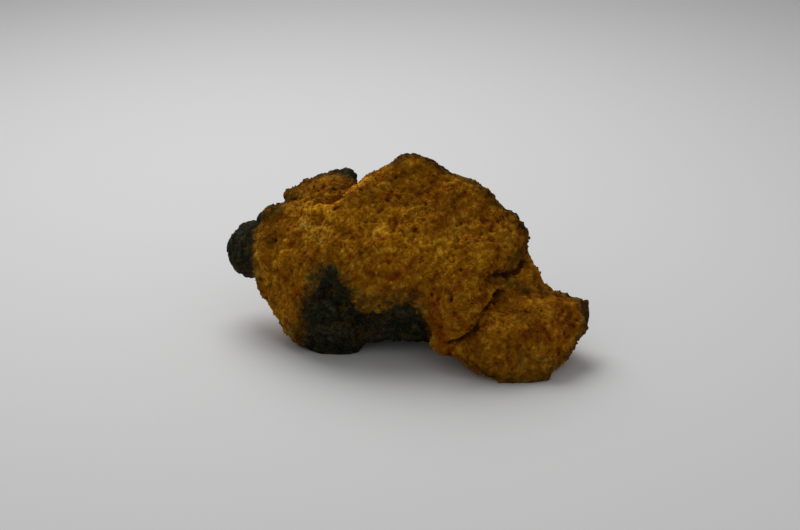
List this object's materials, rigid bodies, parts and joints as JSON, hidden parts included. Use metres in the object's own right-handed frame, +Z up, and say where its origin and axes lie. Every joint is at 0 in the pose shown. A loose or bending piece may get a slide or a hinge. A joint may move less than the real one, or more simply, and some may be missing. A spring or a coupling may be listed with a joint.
{
  "type": "chaga fungus chunk",
  "caption": "Loose chunk of dried chaga fungus: rusty granular flesh on its broken faces and black cracked crust on its outside, resting on its own feet.",
  "frame": {"origin": "middle of the box around the chunk, on the surface that it rests on", "axes": "+X to the right along the chunk's length, from the black knob to the right lobe; +Y to the back, where the crust is; +Z up"},
  "size_m": [0.13, 0.0766, 0.0686],
  "materials": {
    "chaga": "dry granular rust-brown flesh, with matt black cracked crust"
  },
  "bodies": {
    "root": {"chaga_chunk": "chaga"}
  },
  "joints": []
}
